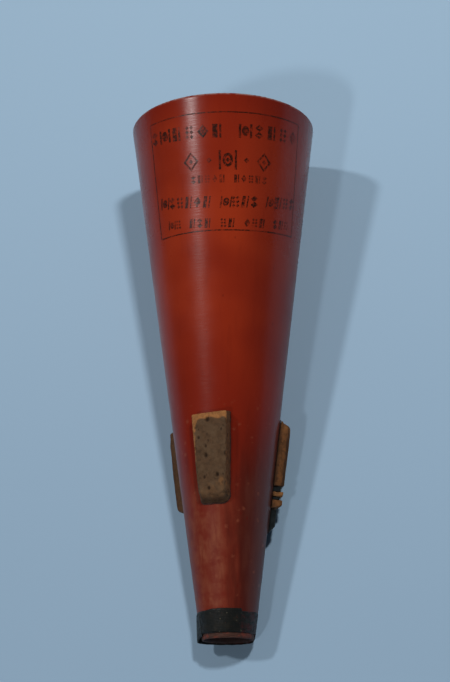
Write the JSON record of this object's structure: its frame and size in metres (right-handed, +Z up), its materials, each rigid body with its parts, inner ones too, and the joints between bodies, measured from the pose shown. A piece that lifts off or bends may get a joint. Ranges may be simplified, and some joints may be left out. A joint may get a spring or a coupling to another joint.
{
  "type": "straight mute for trumpet",
  "caption": "Hollow fibre cone with a closed wide end, an open narrow end and cork pads round it, pushed into a trumpet's bell to mute it.",
  "frame": {"origin": "middle of the bottom of the bounding box, on the surface that the mute lies on", "axes": "+Z up; +Y along the mute on the floor, from the open narrow end to the closed wide end; +X to the right when looking along +Y. The cone's own axis rises by 7.39 degrees towards +Y, and one cork pad points straight up from it"},
  "size_m": [0.066, 0.1878, 0.0654],
  "materials": {
    "red_lacquer": "rolled fibre board under worn, glossy dark red lacquer",
    "disc_lacquer": "fibre board disc under duller dark red lacquer",
    "cork": "natural cork, darkened by handling, fresh along worn edges",
    "black_rubber": "matt, aged",
    "black_tape": "black cloth tape, fine weave, with specks of dirt"
  },
  "bodies": {
    "root": {"cone_shell": "red_lacquer", "end_disc": "disc_lacquer", "cork_pad_top": "cork", "cork_pad_left": "cork", "cork_pad_right": "cork", "cork_slice_right": "cork", "cork_chip_right": "cork", "rubber_block_right": "black_rubber", "tip_binding": "black_tape"}
  },
  "joints": []
}
